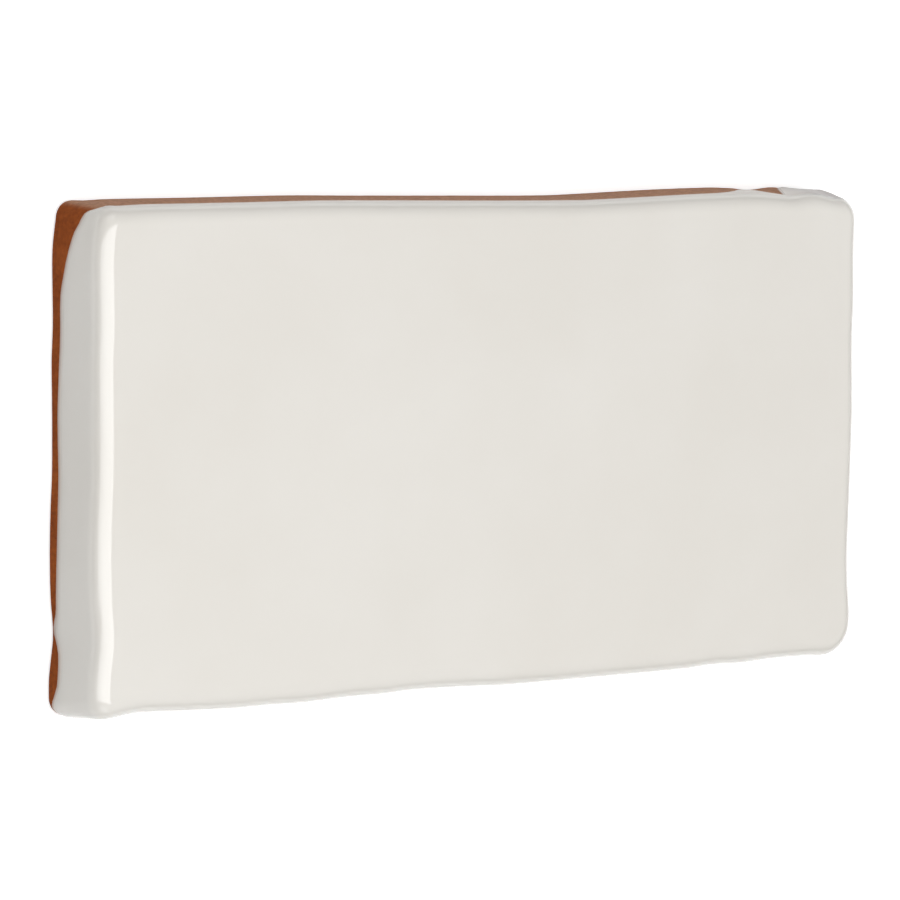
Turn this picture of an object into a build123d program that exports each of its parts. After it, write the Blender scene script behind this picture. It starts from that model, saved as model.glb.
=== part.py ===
from build123d import *
from math import cos, radians, sin
import os

# A handmade wall tile of the half format: a fired clay body under a thick glossy glaze.
# It lies flat on its back with the glazed face up. X runs along its length, Y across its width,
# and the origin is the middle of the back, where the adhesive goes.

# Sizes, in millimetres
tile_length = 130.0       # over the glaze, at the back
tile_width = 65.0         # over the glaze, at the back
tile_thickness = 10.0     # from the back to the glazed face
glaze_thickness = 0.25
side_lean = 0.6           # each side leans in this much from the back to the face
top_left_radius = 2.5     # corners in plan, over the glaze, at the back
top_right_radius = 3.2
bottom_right_radius = 4.6
bottom_left_radius = 2.6
least_corner_radius = 0.8  # of the outlines that are drawn in towards the face
arris_radius = 2.1        # over the glaze, where the face rolls over into the sides
back_edge_radius = 0.5    # of the clay
glaze_foot = 0.25         # no glaze comes nearer to the back than this
band_reach = 3.0          # how far in from a side its bare band is cleared
band_margin = 2.0         # how far outside the side and below the back that clearing starts
arris_steps = 7           # flats that make up the round of the arris
back_edge_steps = 3

# Waves of the hand-cut sides: (place along the side from 0 to 1, millimetres outwards).
# Places run clockwise round the tile, seen from the glazed face, and the first and last are its corners.
top_waves = [(0.0, 0.05), (0.06, 0.1), (0.17, 0.18), (0.28, 0.28), (0.5, -0.05), (0.61, -0.18), (0.75, 0.34),
             (0.85, 0.52), (0.93, 0.15), (1.0, -0.2)]
right_waves = [(0.0, -0.05), (0.1, -0.12), (0.15, -0.12), (0.227, 0.03), (0.31, -0.13), (0.47, 0.13),
               (0.61, -0.03), (0.764, -0.31), (0.82, -0.22), (0.9, 0.26), (1.0, 0.22)]
bottom_waves = [(0.0, -0.1), (0.058, -0.25), (0.112, -0.27), (0.15, -0.06), (0.2, -0.14), (0.23, 0.08),
                (0.33, 0.15), (0.475, 0.14), (0.54, -0.15), (0.6, -0.27), (0.635, -0.1), (0.68, -0.1),
                (0.735, 0.12), (0.78, 0.05), (0.82, 0.09), (0.885, -0.16), (0.94, -0.4), (1.0, 0.1)]
left_waves = [(0.0, 0.2), (0.075, 0.19), (0.11, -0.06), (0.155, -0.38), (0.19, -0.26), (0.23, 0.02),
              (0.31, 0.19), (0.4, 0.13), (0.47, -0.05), (0.6, 0.01), (0.69, 0.12), (0.76, -0.02),
              (0.83, 0.07), (0.89, 0.14), (0.93, -0.06), (1.0, -0.35)]

# The glaze line on each side: (place along the side, height of the glaze's edge above the back).
# The top side is bare but for its right end, and its bare band goes on round the left corner.
top_line = [(0.0, 7.2), (0.06, 6.4), (0.24, 6.0), (0.38, 4.9), (0.5, 6.2), (0.61, 4.9), (0.75, 6.4), (0.86, 5.4),
            (0.92, 2.6), (0.96, 1.0), (1.0, 0.8)]
right_line = [(0.0, 0.8), (0.25, 1.1), (0.6, 1.6), (1.0, 0.9)]
bottom_line = [(0.0, 0.9), (0.3, 1.2), (0.7, 1.6), (1.0, 0.8)]
left_line = [(0.0, 0.8), (0.06, 1.6), (0.165, 0.7), (0.25, 1.0), (0.4, 1.4), (0.58, 1.0), (0.8, 1.4), (0.91, 3.5),
             (1.0, 7.2)]

# Each side as a plane that faces into the tile, its X along the places and its Y upwards
top_side = Plane(origin=(0, tile_width / 2, 0), x_dir=(1, 0, 0), z_dir=(0, -1, 0))
right_side = Plane(origin=(tile_length / 2, 0, 0), x_dir=(0, -1, 0), z_dir=(-1, 0, 0))
bottom_side = Plane(origin=(0, -tile_width / 2, 0), x_dir=(-1, 0, 0), z_dir=(0, 1, 0))
left_side = Plane(origin=(-tile_length / 2, 0, 0), x_dir=(0, 1, 0), z_dir=(1, 0, 0))


def wavy_outline(height, inset):
    """The tile's outline at a height above the back, drawn in from the nominal size."""
    half_x = tile_length / 2 - inset
    half_y = tile_width / 2 - inset
    # Each corner stands out as far as the ends of its two sides do
    left_top = -half_x - left_waves[-1][1]
    left_bottom = -half_x - left_waves[0][1]
    right_top = half_x + right_waves[0][1]
    right_bottom = half_x + right_waves[-1][1]
    top_left = half_y + top_waves[0][1]
    top_right = half_y + top_waves[-1][1]
    bottom_right = -half_y - bottom_waves[0][1]
    bottom_left = -half_y - bottom_waves[-1][1]
    tl = max(top_left_radius - inset, least_corner_radius)
    tr = max(top_right_radius - inset, least_corner_radius)
    br = max(bottom_right_radius - inset, least_corner_radius)
    bl = max(bottom_left_radius - inset, least_corner_radius)
    top = [((place - 0.5) * tile_length, half_y + out) for place, out in top_waves[1:-1]]
    right = [(half_x + out, (0.5 - place) * tile_width) for place, out in right_waves[1:-1]]
    bottom = [((0.5 - place) * tile_length, -half_y - out) for place, out in bottom_waves[1:-1]]
    left = [(-half_x - out, (place - 0.5) * tile_width) for place, out in left_waves[1:-1]]
    with BuildSketch(Plane.XY.offset(height)) as outline:
        with BuildLine():
            Spline((left_top + tl, top_left), *top, (right_top - tr, top_right),
                   tangents=((1, 0), (1, 0)))
            RadiusArc((right_top - tr, top_right), (right_top, top_right - tr), tr)
            Spline((right_top, top_right - tr), *right, (right_bottom, bottom_right + br),
                   tangents=((0, -1), (0, -1)))
            RadiusArc((right_bottom, bottom_right + br), (right_bottom - br, bottom_right), br)
            Spline((right_bottom - br, bottom_right), *bottom, (left_bottom + bl, bottom_left),
                   tangents=((-1, 0), (-1, 0)))
            RadiusArc((left_bottom + bl, bottom_left), (left_bottom, bottom_left + bl), bl)
            Spline((left_bottom, bottom_left + bl), *left, (left_top, top_left - tl),
                   tangents=((0, 1), (0, 1)))
            RadiusArc((left_top, top_left - tl), (left_top + tl, top_left), tl)
        make_face()
    return outline.sketch.face()


def leaning_outline(height, inset):
    """The outline at a height, with the lean of the sides added to what it is drawn in by."""
    return wavy_outline(height, inset + side_lean * height / tile_thickness)


def rounded_arris(face_height, radius, inset):
    """Outlines up the quarter round from a side to the face."""
    outlines = []
    for step in range(arris_steps + 1):
        turn = radians(90 * step / arris_steps)
        height = face_height - radius * (1 - sin(turn))
        outlines.append(leaning_outline(height, inset + radius * (1 - cos(turn))))
    return outlines


def rounded_back_edge(radius, inset):
    """Outlines up the small quarter round from the back to a side."""
    outlines = []
    for step in range(back_edge_steps + 1):
        turn = radians(90 * step / back_edge_steps)
        height = radius * (1 - cos(turn))
        outlines.append(leaning_outline(height, inset + radius * (1 - sin(turn))))
    return outlines


def bare_section(side, length, glaze_line, depth):
    """The bare part of a side under its glaze line, at a depth that mitres its ends."""
    run = length - 2 * depth
    points = [((place - 0.5) * run, height) for place, height in glaze_line]
    with BuildSketch(side.offset(depth)) as section:
        with BuildLine():
            Spline(*points)
            Polyline(points[-1], (run / 2, -band_margin), (-run / 2, -band_margin), points[0])
        make_face()
    return section.sketch.face()


def bare_band(side, length, glaze_line):
    """The sections that a side's bare band is cleared between."""
    outer = bare_section(side, length, glaze_line, -band_margin)
    inner = bare_section(side, length, glaze_line, band_reach)
    return [outer, inner]


clay_thickness = tile_thickness - glaze_thickness
clay_arris_radius = arris_radius - glaze_thickness

with BuildPart() as clay_body:
    clay_outlines = rounded_back_edge(back_edge_radius, glaze_thickness)
    clay_outlines += rounded_arris(clay_thickness, clay_arris_radius, glaze_thickness)
    loft(sections=clay_outlines, ruled=True)

# The coat follows the clay at an even thickness, then the bare bands are cleared off its sides.
with BuildPart() as glaze_coat:
    coat_outlines = [leaning_outline(glaze_foot, 0)]
    coat_outlines += rounded_arris(tile_thickness, arris_radius, 0)
    loft(sections=coat_outlines, ruled=True)
    add(clay_body.part, mode=Mode.SUBTRACT)
    loft(sections=bare_band(top_side, tile_length, top_line), ruled=True, mode=Mode.SUBTRACT)
    loft(sections=bare_band(right_side, tile_width, right_line), ruled=True, mode=Mode.SUBTRACT)
    loft(sections=bare_band(bottom_side, tile_length, bottom_line), ruled=True, mode=Mode.SUBTRACT)
    loft(sections=bare_band(left_side, tile_width, left_line), ruled=True, mode=Mode.SUBTRACT)

clay_body.part.label = "clay_body"
glaze_coat.part.label = "glaze_coat"

os.makedirs("parts", exist_ok=True)
export_step(clay_body.part, "parts/clay_body.step")
export_step(glaze_coat.part, "parts/glaze_coat.step")
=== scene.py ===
import bpy
import bmesh
import math
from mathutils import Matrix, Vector


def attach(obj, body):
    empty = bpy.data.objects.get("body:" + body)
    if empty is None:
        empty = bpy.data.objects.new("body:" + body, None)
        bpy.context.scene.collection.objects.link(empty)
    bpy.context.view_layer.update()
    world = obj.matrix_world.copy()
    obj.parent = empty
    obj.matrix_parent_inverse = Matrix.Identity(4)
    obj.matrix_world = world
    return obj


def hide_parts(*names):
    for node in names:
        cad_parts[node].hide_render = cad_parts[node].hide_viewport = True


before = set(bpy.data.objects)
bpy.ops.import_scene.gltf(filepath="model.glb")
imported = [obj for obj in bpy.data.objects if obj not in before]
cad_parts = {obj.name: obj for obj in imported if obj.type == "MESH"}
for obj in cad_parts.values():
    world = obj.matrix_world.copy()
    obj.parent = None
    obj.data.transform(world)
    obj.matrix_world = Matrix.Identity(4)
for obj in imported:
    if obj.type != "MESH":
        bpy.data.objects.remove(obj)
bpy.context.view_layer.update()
mm = 0.001

# the tile lies on its back, glazed face up, with the photo's top side at +Y and its left end at -X
tile = {
    "length": 130.0, "width": 65.0, "thickness": 10.0,
    "sideLean": 0.6,          # sides lean in from back to face
    "topLean": 0.3,           # the top side leans this much more
    "arris": 2.1,             # round from the face into the sides
    "glaze": 0.25,
    "zone": 4.9,              # how far in from a side its waves are felt
    "cornerSteps": 8, "arrisSteps": 10,
    "faceMargin": 0.15,       # a narrow ring that holds the flat face up to the arris
}
cuts = {
    "first": 3.4,             # in from the edges of the tile
    "spacing": 0.8,
    "fineFrom": 42,           # twice as close past this x, where the glaze runs down the top side
    "clear": 0.8,             # kept from the corner rounds
}
corners = {"topLeft": 2.5, "topRight": 3.2, "bottomRight": 4.6, "bottomLeft": 2.6}
halfX = tile["length"] / 2
halfY = tile["width"] / 2

# waves: (place along the side, mm outwards), clockwise seen from the face
waves = {
    "top": [(0, 0.05), (0.035, 0), (0.06, 0.12), (0.17, 0.18), (0.28, 0.28), (0.36, 0.15), (0.5, -0.05),
            (0.61, -0.18), (0.66, -0.04), (0.75, 0.34), (0.84, 0.56), (0.875, 0.43), (0.9, 0.18),
            (0.935, 0.48), (0.965, -0.1), (1, -0.1)],
    "right": [(0, -0.05), (0.1, -0.12), (0.15, -0.12), (0.227, 0.03), (0.31, -0.13), (0.47, 0.13),
              (0.61, -0.03), (0.764, -0.31), (0.82, -0.22), (0.9, 0.26), (1, 0.22)],
    "bottom": [(0, -0.1), (0.058, -0.25), (0.112, -0.27), (0.15, -0.06), (0.2, -0.14), (0.23, 0.08),
               (0.33, 0.15), (0.475, 0.14), (0.54, -0.15), (0.6, -0.27), (0.635, -0.1), (0.68, -0.1),
               (0.735, 0.12), (0.78, 0.05), (0.82, 0.09), (0.885, -0.16), (0.94, -0.4), (1, 0.1)],
    "left": [(0, 0.2), (0.075, 0.19), (0.11, -0.06), (0.155, -0.38), (0.19, -0.26), (0.23, 0.02),
             (0.31, 0.19), (0.4, 0.13), (0.47, -0.05), (0.6, 0.01), (0.69, 0.12), (0.76, -0.02),
             (0.83, 0.07), (0.89, 0.14), (0.93, -0.06), (1, -0.35)],
}
ends = {
    "top": ("topLeft", "topRight"), "right": ("topRight", "bottomRight"),
    "bottom": ("bottomRight", "bottomLeft"), "left": ("bottomLeft", "topLeft"),
}


def along(points, place):
    # smooth curve through a few given points
    if place <= points[0][0]:
        return points[0][1]
    if place >= points[-1][0]:
        return points[-1][1]
    i = 0
    while points[i + 1][0] < place:
        i += 1

    def slope(k):
        if k == 0 or k == len(points) - 1:
            return 0.0
        return (points[k + 1][1] - points[k - 1][1]) / (points[k + 1][0] - points[k - 1][0])

    (x0, y0), (x1, y1) = points[i], points[i + 1]
    step = x1 - x0
    t = (place - x0) / step
    rise = (1 + 2 * t) * (1 - t) ** 2 * y0 + t * t * (3 - 2 * t) * y1
    return rise + step * (t * (1 - t) ** 2 * slope(i) - t * t * (1 - t) * slope(i + 1))


def wave(side, place):
    # each side's waves run between the rounds of its two corners
    length = tile["length"] if side in ("top", "bottom") else tile["width"]
    first, last = (corners[name] / length for name in ends[side])
    points = waves[side]
    return along([(first, points[0][1])] + points[1:-1] + [(1 - last, points[-1][1])], place)


def begin(obj):
    # edit one object with nothing else selected
    if bpy.context.object and bpy.context.object.mode == "EDIT":
        bpy.ops.object.mode_set(mode="OBJECT")
    bpy.ops.object.select_all(action="DESELECT")
    obj.select_set(True)
    bpy.context.view_layer.objects.active = obj
    bpy.ops.object.mode_set(mode="EDIT")


def done():
    bpy.ops.object.mode_set(mode="OBJECT")


def pick(obj, kind, test):
    # select by place or normal
    bpy.ops.mesh.select_mode(type=kind)
    bpy.ops.mesh.select_all(action="DESELECT")
    cage = bmesh.from_edit_mesh(obj.data)
    cage.verts.index_update()
    parts = {"VERT": cage.verts, "EDGE": cage.edges, "FACE": cage.faces}[kind]
    for part in parts:
        if test(part):
            part.select_set(True)
    cage.select_flush_mode()
    bmesh.update_edit_mesh(obj.data)


def moveTogether(obj, moves, grain=0.01):
    # translate points, those with the same move in one go
    groups = {}
    for index, move in moves:
        groups.setdefault(tuple(round(c / mm / grain) for c in move), set()).add(index)
    for key, chosen in sorted(groups.items()):
        if any(key):
            pick(obj, "VERT", lambda v: v.index in chosen)
            bpy.ops.transform.translate(value=tuple(k * grain * mm for k in key))


def spot(v):
    # a point known by its place
    return tuple(round(c / mm, 3) for c in v.co)


def copyOf(obj, name):
    bpy.ops.object.select_all(action="DESELECT")
    obj.select_set(True)
    bpy.context.view_layer.objects.active = obj
    bpy.ops.object.duplicate()
    bpy.context.object.name = name
    return bpy.context.object


def applyModifier(obj, kind, **settings):
    bpy.ops.object.select_all(action="DESELECT")
    obj.select_set(True)
    bpy.context.view_layer.objects.active = obj
    modifier = obj.modifiers.new(kind.title(), kind)
    for key, value in settings.items():
        setattr(modifier, key, value)
    bpy.ops.object.modifier_apply(modifier=modifier.name)


def sideOf(x, y):
    # the nearest side, and the place along it clockwise from 0 to 1
    gaps = {"top": halfY - y, "right": halfX - x, "bottom": halfY + y, "left": halfX + x}
    side = min(gaps, key=gaps.get)
    depth = max(gaps[side], 0.0)
    if side in ("top", "bottom"):
        span, at = tile["length"] - 2 * depth, x
    else:
        span, at = tile["width"] - 2 * depth, y
    return side, 0.5 + (at if side in ("top", "left") else -at) / span


def share(value, low, high):
    # 0 up to low, 1 from high on
    return min(max((value - low) / (high - low), 0.0), 1.0)


# the blank: the outside of the whole tile, glaze included
bpy.ops.object.select_all(action="DESELECT")
bpy.ops.mesh.primitive_cube_add(size=1, location=(0, 0, tile["thickness"] * mm / 2))
blank = bpy.context.object
blank.name = "tileBlank"
blank.scale = (tile["length"] * mm, tile["width"] * mm, tile["thickness"] * mm)
bpy.ops.object.transform_apply(location=True, rotation=True, scale=True)
begin(blank)
faceZ = tile["thickness"] * mm
pick(blank, "FACE", lambda f: f.normal.z > 0.9)
lean = 2 * tile["sideLean"]
bpy.ops.transform.resize(
    value=(1 - lean / tile["length"], 1 - lean / tile["width"], 1), center_override=(0, 0, faceZ))
pick(blank, "EDGE", lambda e: all(v.co.z > faceZ / 2 and v.co.y > 0 for v in e.verts))
bpy.ops.transform.translate(value=(0, -tile["topLean"] * mm, 0))
for name, radius in corners.items():
    across = 1 if name.endswith("Right") else -1
    up = 1 if name.startswith("top") else -1
    pick(blank, "EDGE", lambda e: abs(e.verts[0].co.z - e.verts[1].co.z) > faceZ / 2
         and e.verts[0].co.x * across > 0 and e.verts[0].co.y * up > 0)
    bpy.ops.mesh.bevel(offset=radius * mm, segments=tile["cornerSteps"], affect="EDGES")
pick(blank, "EDGE", lambda e: all(v.co.z > faceZ - 1e-6 for v in e.verts))
bpy.ops.mesh.bevel(offset=tile["arris"] * mm, segments=tile["arrisSteps"], affect="EDGES")
pick(blank, "FACE", lambda f: f.normal.z > 0.9999 and f.calc_area() > 1e-3)
bpy.ops.mesh.inset(thickness=tile["faceMargin"] * mm)


def cutAcross(axis, at):
    normal = tuple(1 if k == axis else 0 for k in range(3))
    bpy.ops.mesh.bisect(plane_co=tuple(at * mm * c for c in normal), plane_no=normal, threshold=1e-7)


for axis in (0, 1):
    bpy.ops.mesh.select_all(action="SELECT")
    cutAcross(axis, 0)
for axis, half in ((0, halfX), (1, halfY)):
    at = cuts["first"] - half
    while at < half - cuts["first"]:
        # near its ends a cut stops short of the corner rounds
        clear = []
        for hand in (-1, 1):
            x, y = (at, hand) if axis == 0 else (hand, at)
            name = ("top" if y > 0 else "bottom") + ("Right" if x > 0 else "Left")
            if half - abs(at) > corners[name] + cuts["clear"]:
                clear.append(hand)
        if len(clear) == 2:
            bpy.ops.mesh.select_all(action="SELECT")
        elif clear:
            pick(blank, "FACE", lambda f: f.calc_center_median()[1 - axis] * clear[0] > 0)
        if clear:
            cutAcross(axis, at)
        at += cuts["spacing"] / (2 if at > cuts["fineFrom"] else 1)

# push the sides in and out along their waves
moves = []
cage = bmesh.from_edit_mesh(blank.data)
cage.verts.index_update()
for v in cage.verts:
    x, y = v.co.x / mm, v.co.y / mm
    dx = dy = 0.0
    if halfX - abs(x) < tile["zone"]:
        dx = wave("right", 0.5 - y / tile["width"]) if x > 0 else -wave("left", 0.5 + y / tile["width"])
    if halfY - abs(y) < tile["zone"]:
        dy = wave("top", 0.5 + x / tile["length"]) if y > 0 else -wave("bottom", 0.5 - x / tile["length"])
    moves.append((v.index, (dx * mm, dy * mm, 0.0)))
moveTogether(blank, moves)
done()
print("blank", len(blank.data.vertices), "points")

# clay body: the blank drawn in by the glaze's thickness, with a small round at the back
clay = {
    "backEdge": 0.5, "backSteps": 3,
    "paintedSheen": (0.78, 0.95),   # facing +Y this much, the clay is painted paler: a painted sheen for the grazing light on that side
}
clayBody = copyOf(blank, "clayBody")
begin(clayBody)
pick(clayBody, "FACE", lambda f: f.normal.z > -0.9)
bpy.ops.transform.shrink_fatten(value=-tile["glaze"] * mm, use_even_offset=True)
pick(clayBody, "VERT", lambda v: v.co.z < 1 * mm)
bpy.ops.transform.resize(value=(1, 1, 0), center_override=(0, 0, 0))      # back flat on the floor
pick(clayBody, "EDGE", lambda e: all(v.co.z < 1e-6 for v in e.verts)
     and sum(f.normal.z < -0.9 for f in e.link_faces) == 1)
bpy.ops.mesh.bevel(offset=clay["backEdge"] * mm, segments=clay["backSteps"], affect="EDGES")
done()
# painted sheen: the more a point of the clay faces +Y, the paler it is painted
paintedSheenLayer = clayBody.data.attributes.new("paintedSheen", "FLOAT", "POINT")
for v in clayBody.data.vertices:
    paintedSheenLayer.data[v.index].value = share(v.normal.y, *clay["paintedSheen"])
print("clay body", len(clayBody.data.polygons), "faces")

# glaze coat: the blank's outside down to the glaze line, its edge feathered out on the clay
glaze = {
    "sideRows": 3,
    "bury": 0.02,             # mm that the coat goes into the clay
    # the edge thins out in a few rows, each a little further in
    "lipRows": 3, "sink": 0.077,
    # mm over which it does so, by place along the side
    "lip": {
        "top": [(0, 1.2), (0.06, 3.2), (0.8, 3.2), (0.84, 0.8), (1, 1.0)],
        "right": [(0, 1.0), (1, 1.0)],
        "bottom": [(0, 1.0), (1, 1.2)],
        "left": [(0, 1.2), (0.1, 1.4), (1, 1.2)],
    },
    # the top side is thinly coated, up to this share
    "topThin": (0.8, 1.1), "topShare": 0.5,
    # a thick run of glaze on the top side: middle and half size, mm outwards, stretch painted grey as
    # shade, and how far it must face +Y to get that painted shade
    "run": {"x": (61.0, 4.8), "z": (4.8, 3.2), "out": 0.5, "shadeSpan": (60.0, 6.8), "shadeFacing": (0.75, 0.95)},
    # height of the edge above the back, by place along the side
    "lowest": 0.45, "highest": 7.6,
    "line": {
        "top": [(0, 5.65), (0.006, 6.3), (0.0125, 6.9), (0.025, 7.3), (0.04, 7.4), (0.07, 7.0), (0.13, 6.6),
                (0.24, 7.0), (0.33, 5.9), (0.43, 5.9), (0.5, 7.2), (0.6, 5.9), (0.67, 7.0), (0.75, 7.2),
                (0.842, 5.4), (0.86, 3.8), (0.876, 4.2), (0.884, 4.2), (0.896, 7.2), (0.902, 7.2),
                (0.938, 1.2), (1, 0.6)],
        "right": [(0, 0.6), (0.25, 1.1), (0.6, 1.6), (1, 0.9)],
        "bottom": [(0, 0.9), (0.3, 1.2), (0.7, 1.6), (1, 0.6)],
        "left": [(0, 0.45), (0.02, 0.7), (0.06, 1.95), (0.12, 1.75), (0.165, 0.5), (0.21, 1.3), (0.37, 1.8),
                 (0.58, 1.45), (0.7, 1.9), (0.81, 1.9), (0.87, 2.9), (0.91, 3.7), (0.94, 4.35),
                 (0.9615, 4.9), (0.98, 5.35), (1, 5.6)],
    },
}
glazeCoat = copyOf(blank, "glazeCoat")
begin(glazeCoat)
pick(glazeCoat, "FACE", lambda f: f.normal.z < -0.9)
bpy.ops.mesh.delete(type="FACE")
cage = bmesh.from_edit_mesh(glazeCoat.data)
cage.verts.index_update()
slides, lips = [], {}
for e in cage.edges:
    low, high = sorted(e.verts, key=lambda v: v.co.z)
    if high.co.z - low.co.z > faceZ / 2:
        side, place = sideOf(low.co.x / mm, low.co.y / mm)
        height = min(max(along(glaze["line"][side], place), glaze["lowest"]), glaze["highest"]) * mm
        end = low.co.lerp(high.co, (height - low.co.z) / (high.co.z - low.co.z))
        reach = end - high.co
        lip = min(along(glaze["lip"][side], place) * mm, 0.9 * reach.length) * reach.normalized()
        slides.append((low.index, tuple(end - lip - low.co)))
        lips[low.index] = tuple(lip / glaze["lipRows"])
rise = set(lips)
moveTogether(glazeCoat, slides)
lipAt = {spot(v): lips[v.index] for v in bmesh.from_edit_mesh(glazeCoat.data).verts if v.index in rise}
pick(glazeCoat, "EDGE", lambda e: (e.verts[0].index in rise) != (e.verts[1].index in rise))
bpy.ops.mesh.subdivide(number_cuts=glaze["sideRows"])
shareAt = {}
for i in range(glaze["lipRows"]):
    pick(glazeCoat, "EDGE", lambda e: e.is_boundary)
    bpy.ops.mesh.extrude_edges_indiv()
    cage = bmesh.from_edit_mesh(glazeCoat.data)
    cage.verts.index_update()
    row = {v.index: lipAt[spot(v)] for v in cage.verts if v.select}
    moveTogether(glazeCoat, list(row.items()), 0.005)
    pick(glazeCoat, "VERT", lambda v: v.index in row)
    bpy.ops.transform.shrink_fatten(value=-glaze["sink"] * mm)
    lipAt = {spot(v): row[v.index] for v in bmesh.from_edit_mesh(glazeCoat.data).verts if v.index in row}
    shareAt.update((at, (i + 1) / glaze["lipRows"]) for at in lipAt)


def swellAt(value, span):
    # 1 in the middle of the span, falling softly to 0 at its ends
    t = (value / mm - span[0]) / span[1]
    return (1 - t * t) ** 2 if abs(t) < 1 else 0.0


run = glaze["run"]
moveTogether(glazeCoat, [
    (v.index, (0, run["out"] * mm * swellAt(v.co.x, run["x"]) * swellAt(v.co.z, run["z"]), 0))
    for v in bmesh.from_edit_mesh(glazeCoat.data).verts if v.co.y > (halfY - 2.5) * mm], 0.02)
done()
lipValues, runValues = [], []
for v in glazeCoat.data.vertices:
    topShare = min(share(v.normal.y, *glaze["topThin"]), glaze["topShare"])
    lipValues.append(max(shareAt.get(spot(v), 0.0), topShare))
    # painted shade: the run is painted grey where it faces +Y, standing in for the darker room it reflects
    runValues.append(share(v.normal.y, *run["shadeFacing"]) * min(1.5 * swellAt(v.co.x, run["shadeSpan"]), 1.0))
for name, values in (("lip", lipValues), ("run", runValues)):
    layer = glazeCoat.data.attributes.new(name, "FLOAT", "POINT")
    layer.data.foreach_set("value", values)
applyModifier(glazeCoat, "SOLIDIFY", thickness=(tile["glaze"] + glaze["bury"]) * mm, offset=-1,
              use_even_offset=False, use_rim=True)
begin(glazeCoat)
bpy.ops.mesh.select_all(action="SELECT")
bpy.ops.mesh.normals_make_consistent(inside=False)
done()
print("glaze coat", len(glazeCoat.data.polygons), "faces")

for obj, node, slotName in ((clayBody, "clay_body", "clay"), (glazeCoat, "glaze_coat", "glaze")):
    bpy.ops.object.select_all(action="DESELECT")
    obj.select_set(True)
    bpy.context.view_layer.objects.active = obj
    bpy.ops.object.shade_smooth_by_angle(angle=math.radians(35))
    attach(obj, "root")
    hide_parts(node)
bpy.data.objects.remove(blank)


def newMaterial(name, obj):
    material = bpy.data.materials.new(name)
    material.use_nodes = True
    obj.data.materials.clear()
    obj.data.materials.append(material)
    nodes = material.node_tree.nodes
    return nodes, material.node_tree.links, nodes["Principled BSDF"]


def addNoise(nodes, links, coords, scale, detail):
    noise = nodes.new("ShaderNodeTexNoise")
    noise.inputs["Scale"].default_value = scale
    noise.inputs["Detail"].default_value = detail
    links.new(coords, noise.inputs["Vector"])
    return noise.outputs["Fac"]


def addRamp(nodes, links, source, low, high):
    # two stops, each a position and a colour
    ramp = nodes.new("ShaderNodeValToRGB")
    for stop, (position, color) in zip(ramp.color_ramp.elements, (low, high)):
        stop.position = position
        stop.color = (*color, 1)
    links.new(source, ramp.inputs["Fac"])
    return ramp.outputs["Color"]


def addMix(nodes, links, factor, first, second, blend="MIX"):
    mix = nodes.new("ShaderNodeMixRGB")
    mix.blend_type = blend
    for socket, value in zip(mix.inputs, (factor, first, second)):
        if isinstance(value, (int, float)):
            socket.default_value = value
        elif isinstance(value, tuple):
            socket.default_value = (*value, 1)
        else:
            links.new(value, socket)
    return mix.outputs["Color"]


def addBump(nodes, links, source, strength, distance, under=None):
    bump = nodes.new("ShaderNodeBump")
    bump.inputs["Strength"].default_value = strength
    bump.inputs["Distance"].default_value = distance * mm
    links.new(source, bump.inputs["Height"])
    if under:
        links.new(under, bump.inputs["Normal"])
    return bump.outputs["Normal"]


# ivory glaze: faintly clouded, thin and pinkish at its edge, with a slow swell and a fine orange peel
glazeFinish = {
    "tone": (0.775, 0.75, 0.702), "cloud": (0.755, 0.727, 0.675), "thin": (0.55, 0.41, 0.34),
    # painted shade: grey for the run on the top side, in place of its darker reflection
    "run": (0.38, 0.365, 0.36),
    "roughness": (0.05, 0.1), "thinRoughness": 0.6,
    "specular": 0.5, "thinSpecular": 0.1, "ior": 1.6,
    # noise scales, and strength and height in mm of the bumps
    "cloudScale": 45, "glossScale": 120,
    "swellScale": 70, "swell": (0.5, 0.12),
    "peelScale": 900, "peel": (0.12, 0.03),
}
nodes, links, shader = newMaterial("ivoryGlaze", glazeCoat)
coords = nodes.new("ShaderNodeTexCoord").outputs["Object"]
clouds = addRamp(nodes, links, addNoise(nodes, links, coords, glazeFinish["cloudScale"], 3),
                 (0.35, glazeFinish["tone"]), (0.68, glazeFinish["cloud"]))
# painted shade on the run, mixed into the glaze colour
runNode = nodes.new("ShaderNodeAttribute")
runNode.attribute_name = "run"
clouds = addMix(nodes, links, runNode.outputs["Fac"], clouds, glazeFinish["run"])
lipNode = nodes.new("ShaderNodeAttribute")
lipNode.attribute_name = "lip"
thinness = addRamp(nodes, links, lipNode.outputs["Fac"], (0.3, (0, 0, 0)), (1.0, (0.85, 0.85, 0.85)))
links.new(addMix(nodes, links, thinness, clouds, glazeFinish["thin"]), shader.inputs["Base Color"])
gloss = nodes.new("ShaderNodeMapRange")
gloss.inputs["To Min"].default_value, gloss.inputs["To Max"].default_value = glazeFinish["roughness"]
links.new(addNoise(nodes, links, coords, glazeFinish["glossScale"], 2), gloss.inputs["Value"])
# the thin edge is duller
duller = {"Roughness": glazeFinish["thinRoughness"], "Specular IOR Level": glazeFinish["thinSpecular"]}
for socket, dull in duller.items():
    fade = nodes.new("ShaderNodeMapRange")
    fade.inputs["To Min"].default_value = glazeFinish["specular"]
    fade.inputs["To Max"].default_value = dull
    links.new(lipNode.outputs["Fac"], fade.inputs["Value"])
    if socket == "Roughness":
        links.new(gloss.outputs["Result"], fade.inputs["To Min"])
    links.new(fade.outputs["Result"], shader.inputs[socket])
shader.inputs["IOR"].default_value = glazeFinish["ior"]
slow = addNoise(nodes, links, coords, glazeFinish["swellScale"], 1)
fine = addNoise(nodes, links, coords, glazeFinish["peelScale"], 2)
swell = addBump(nodes, links, slow, *glazeFinish["swell"])
links.new(addBump(nodes, links, fine, *glazeFinish["peel"], swell), shader.inputs["Normal"])

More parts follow.
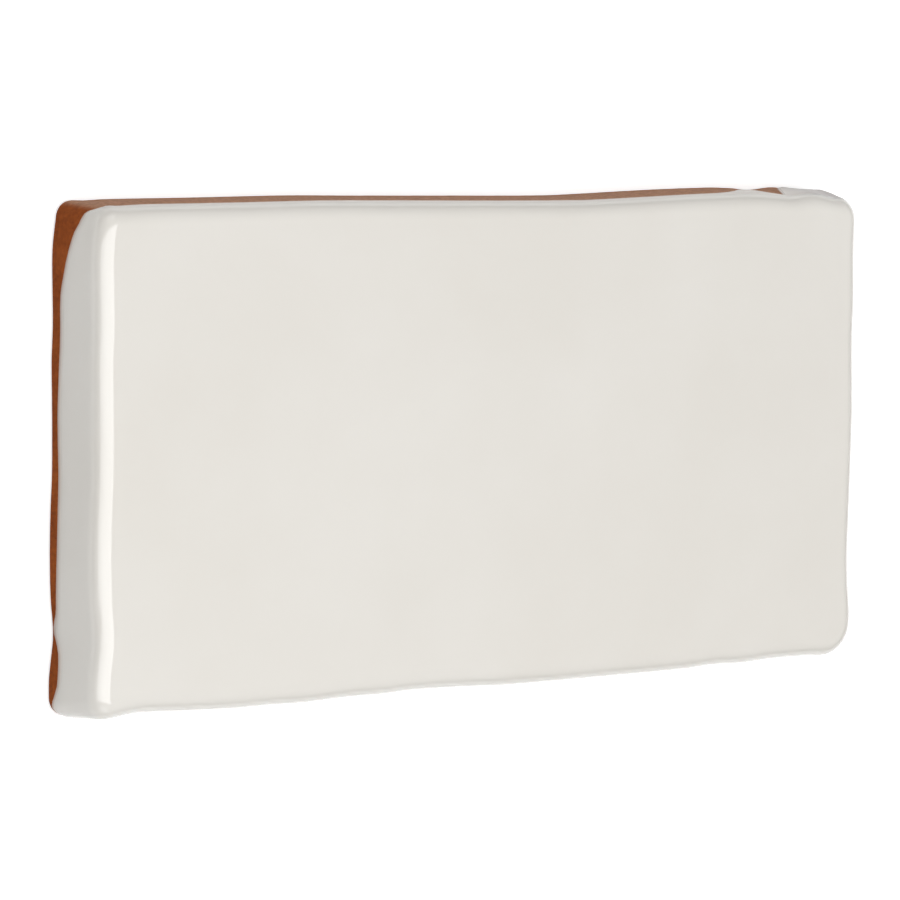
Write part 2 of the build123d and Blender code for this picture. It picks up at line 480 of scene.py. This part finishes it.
# fired clay: uneven orange brown, with grit, open pores and a grainy skin
clayFinish = {
    # the third colour is a painted sheen: paler clay on the side facing +Y, standing in for grazing light
    "tone": (0.365, 0.088, 0.014), "dark": (0.31, 0.07, 0.01), "paintedSheen": (0.52, 0.27, 0.16),
    "roughness": 0.85, "specular": 0.2,
    # noise scales, and strength and height in mm of the bumps
    "patchScale": 180, "grainScale": 1800, "poreScale": 1500,
    "grain": (0.5, 0.08), "pores": (0.4, 0.1),
}
nodes, links, shader = newMaterial("firedClay", clayBody)
coords = nodes.new("ShaderNodeTexCoord").outputs["Object"]
body = addRamp(nodes, links, addNoise(nodes, links, coords, clayFinish["patchScale"], 4),
               (0.35, clayFinish["dark"]), (0.65, clayFinish["tone"]))
# painted sheen mixed in on the clay facing +Y
paintedSheenNode = nodes.new("ShaderNodeAttribute")
paintedSheenNode.attribute_name = "paintedSheen"
body = addMix(nodes, links, paintedSheenNode.outputs["Fac"], body, clayFinish["paintedSheen"])
grain = addNoise(nodes, links, coords, clayFinish["grainScale"], 3)
body = addMix(nodes, links, 1.0, body,
              addRamp(nodes, links, grain, (0.3, (0.8, 0.78, 0.76)), (0.7, (1.15, 1.17, 1.2))), "MULTIPLY")
pits = nodes.new("ShaderNodeTexVoronoi")
pits.inputs["Scale"].default_value = clayFinish["poreScale"]
links.new(coords, pits.inputs["Vector"])
# pores: the pits are painted darker, a painted shade inside them; the same mask bumps them
pores = addRamp(nodes, links, pits.outputs["Distance"], (0.08, (0.7, 0.66, 0.64)), (0.2, (1, 1, 1)))
links.new(addMix(nodes, links, 1.0, body, pores, "MULTIPLY"), shader.inputs["Base Color"])
shader.inputs["Roughness"].default_value = clayFinish["roughness"]
shader.inputs["Specular IOR Level"].default_value = clayFinish["specular"]
skin = addBump(nodes, links, grain, *clayFinish["grain"])
links.new(addBump(nodes, links, pores, *clayFinish["pores"], skin), shader.inputs["Normal"])
print("finishes")

# pale floor, brightened to white where it is looked at, with the tile's shadow kept
floorFinish = {"tone": (0.7, 0.7, 0.7, 1), "glow": 0.58, "size": 6, "drop": 0.05}
bpy.ops.object.select_all(action="DESELECT")
bpy.ops.mesh.primitive_plane_add(size=floorFinish["size"], location=(0, 0, -floorFinish["drop"] * mm))
floor = bpy.context.object
floor.name = "floor"
floorMaterial = bpy.data.materials.new("paleFloor")
floorMaterial.use_nodes = True
nodes, links = floorMaterial.node_tree.nodes, floorMaterial.node_tree.links
nodes.clear()
output = nodes.new("ShaderNodeOutputMaterial")
diffuse = nodes.new("ShaderNodeBsdfDiffuse")
diffuse.inputs["Color"].default_value = floorFinish["tone"]
ray = nodes.new("ShaderNodeLightPath")
seen = ray.outputs["Is Camera Ray"]
for name in ("Is Glossy Ray", "Is Transmission Ray"):
    either = nodes.new("ShaderNodeMath")
    either.operation = "MAXIMUM"
    links.new(seen, either.inputs[0])
    links.new(ray.outputs[name], either.inputs[1])
    seen = either.outputs[0]
strength = nodes.new("ShaderNodeMath")
strength.operation = "MULTIPLY"
strength.inputs[1].default_value = floorFinish["glow"]
links.new(seen, strength.inputs[0])
glow = nodes.new("ShaderNodeEmission")
links.new(strength.outputs[0], glow.inputs["Strength"])
both = nodes.new("ShaderNodeAddShader")
links.new(diffuse.outputs[0], both.inputs[0])
links.new(glow.outputs[0], both.inputs[1])
links.new(both.outputs[0], output.inputs["Surface"])
floor.data.materials.append(floorMaterial)

# soft room light, dimmer towards the horizon, and boxes of light over the tile and beside it
room = {"horizon": (0.1, (0.05, 0.05, 0.06)), "above": (0.45, (0.36, 0.36, 0.36))}
world = bpy.data.worlds.new("studio")
bpy.context.scene.world = world
world.use_nodes = True
nodes, links = world.node_tree.nodes, world.node_tree.links
parts = nodes.new("ShaderNodeSeparateXYZ")
links.new(nodes.new("ShaderNodeTexCoord").outputs["Generated"], parts.inputs["Vector"])
links.new(addRamp(nodes, links, parts.outputs["Z"], room["horizon"], room["above"]),
          nodes["Background"].inputs["Color"])


def addLamp(name, place, target, size, brightness):
    # brightness is the lamp's own, seen against a white of 1
    lamp = bpy.data.lights.new(name, "AREA")
    lamp.shape = "RECTANGLE"
    lamp.size, lamp.size_y = size
    lamp.energy = brightness * math.pi * size[0] * size[1]
    obj = bpy.data.objects.new(name, lamp)
    bpy.context.scene.collection.objects.link(obj)
    obj.location = place
    obj.rotation_euler = (Vector(target) - Vector(place)).to_track_quat("-Z", "Y").to_euler()
    obj.visible_camera = False


addLamp("overhead", (-0.034, -0.045, 0.6), (-0.034, -0.045, 0), (0.72, 0.32), 3.33)
addLamp("overheadEnd", (-0.594, -0.045, 0.6), (-0.594, -0.045, 0), (0.4, 0.32), 2.5)
addLamp("topWindow", (-0.1, 0.9, 0.8), (0, 0, 0), (0.8, 0.4), 1.2)
addLamp("bottomWindow", (-0.1, -0.9, 0.7), (0, 0, 0), (0.8, 0.4), 1.5)
print("lights")

# the photo's angle: from beyond the left end, looking down on the face
view = {"lens": 218.4, "place": (-0.45698, 0.05574, 0.55671), "turn": (-5.143, -39.307, 0.942)}
camera = bpy.data.cameras.new("camera")
camera.sensor_width = 36
camera.lens = view["lens"]
camera.clip_start = 0.01
cameraObject = bpy.data.objects.new("camera", camera)
bpy.context.scene.collection.objects.link(cameraObject)
cameraObject.location = view["place"]
cameraObject.rotation_euler = [math.radians(a) for a in view["turn"]]
bpy.context.scene.camera = cameraObject
bpy.context.scene.view_settings.view_transform = "Standard"
